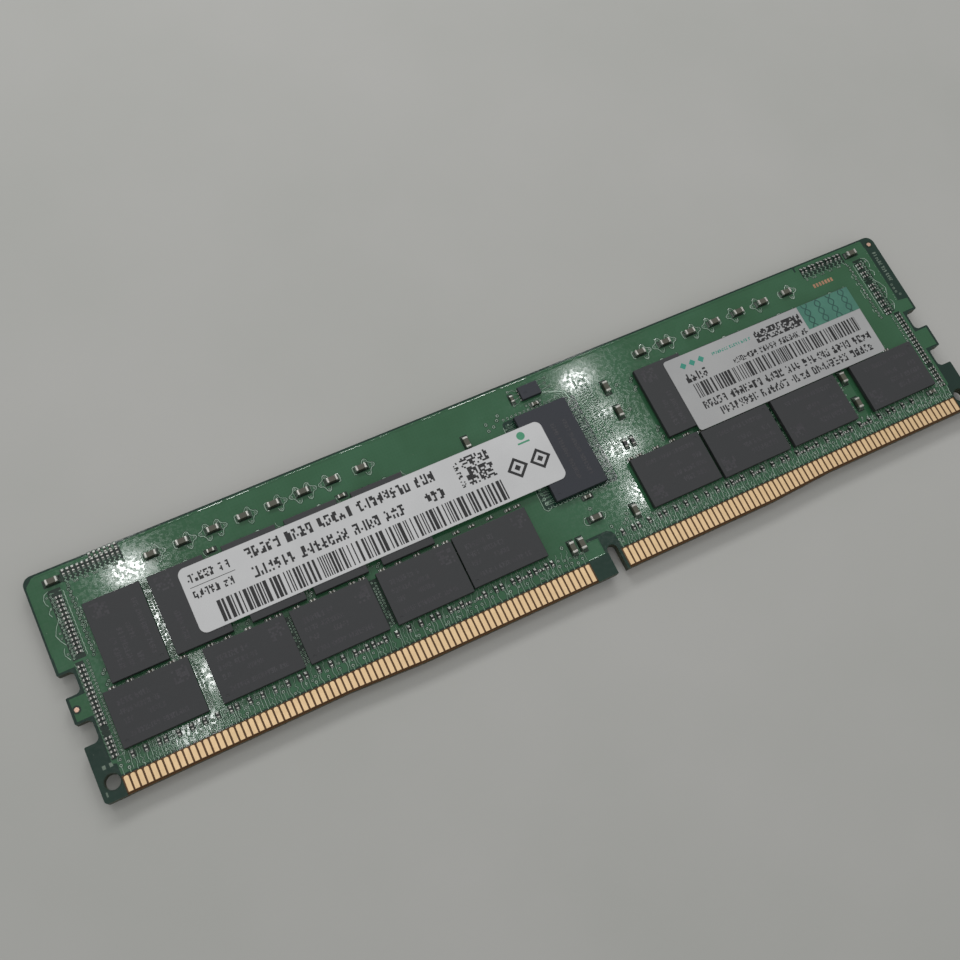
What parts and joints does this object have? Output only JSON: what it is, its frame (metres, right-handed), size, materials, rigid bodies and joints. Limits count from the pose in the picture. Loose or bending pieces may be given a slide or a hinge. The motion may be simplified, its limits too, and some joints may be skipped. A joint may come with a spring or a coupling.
{
  "type": "ram module",
  "caption": "Registered server memory module: a keyed green card with memory packages on both faces, gold edge contacts, two latch notches at each end and two labels.",
  "frame": {"origin": "centre of the bounding box's lower face, in the plane of the rear packages' tops", "axes": "+X along the card with the key right of centre, +Y from the contacts to the top edge, +Z out of the labelled face"},
  "size_m": [0.1334, 0.0312, 0.0037],
  "materials": {
    "glass_epoxy": "bare glass-epoxy, satin, seen only on edges and between contacts",
    "bare_copper": "bright rolled copper",
    "solder_mask": "glossy dark green lacquer",
    "gold_contact": "smooth plated gold, slightly brushed by insertion",
    "memory_mould": "fine-grained matte charcoal mould compound",
    "register_mould": "matte blue-black mould compound",
    "package_substrate": "dark green thin package board",
    "solder": "bright tin-silver solder",
    "capacitor_ceramic": "brown-grey fired ceramic",
    "tinned_end": "matte tin plating",
    "resistor_body": "black glazed resistor face",
    "white_label": "smooth light grey-white printed film",
    "silver_label": "fine-grained grey-white printed paper",
    "teal_foil": "teal shimmering foil with dark wavy lines"
  },
  "bodies": {
    "root": {"pcb_laminate": "glass_epoxy", "inner_copper_planes": "bare_copper", "solder_mask_front": "solder_mask", "edge_contacts_front": "gold_contact", "memory_chip_front_01": "memory_mould", "memory_chip_front_02": "memory_mould", "memory_chip_front_03": "memory_mould", "memory_chip_front_04": "memory_mould", "memory_chip_front_05": "memory_mould", "memory_chip_front_06": "memory_mould", "memory_chip_front_07": "memory_mould", "memory_chip_front_08": "memory_mould", "memory_chip_front_09": "memory_mould", "memory_chip_front_10": "memory_mould", "memory_chip_front_11": "memory_mould", "memory_chip_front_12": "memory_mould", "memory_chip_front_13": "memory_mould", "memory_chip_front_14": "memory_mould", "memory_chip_front_15": "memory_mould", "memory_chip_front_16": "memory_mould", "memory_chip_front_17": "memory_mould", "memory_chip_front_18": "memory_mould", "chip_substrates_front": "package_substrate", "solder_balls_front": "solder", "capacitor_bodies_front": "capacitor_ceramic", "capacitor_ends_front": "tinned_end", "resistor_bodies_front": "resistor_body", "resistor_ends_front": "tinned_end", "solder_mask_back": "solder_mask", "edge_contacts_back": "gold_contact", "memory_chip_back_01": "memory_mould", "memory_chip_back_02": "memory_mould", "memory_chip_back_03": "memory_mould", "memory_chip_back_04": "memory_mould", "memory_chip_back_05": "memory_mould", "memory_chip_back_06": "memory_mould", "memory_chip_back_07": "memory_mould", "memory_chip_back_08": "memory_mould", "memory_chip_back_09": "memory_mould", "memory_chip_back_10": "memory_mould", "memory_chip_back_11": "memory_mould", "memory_chip_back_12": "memory_mould", "memory_chip_back_13": "memory_mould", "memory_chip_back_14": "memory_mould", "memory_chip_back_15": "memory_mould", "memory_chip_back_16": "memory_mould", "memory_chip_back_17": "memory_mould", "memory_chip_back_18": "memory_mould", "chip_substrates_back": "package_substrate", "solder_balls_back": "solder", "capacitor_bodies_back": "capacitor_ceramic", "capacitor_ends_back": "tinned_end", "resistor_bodies_back": "resistor_body", "resistor_ends_back": "tinned_end", "register_chip": "register_mould", "spd_sensor_chip": "register_mould", "spd_sensor_leads": "tinned_end", "rating_label": "white_label", "service_label": "silver_label", "security_patch": "teal_foil"}
  },
  "joints": []
}
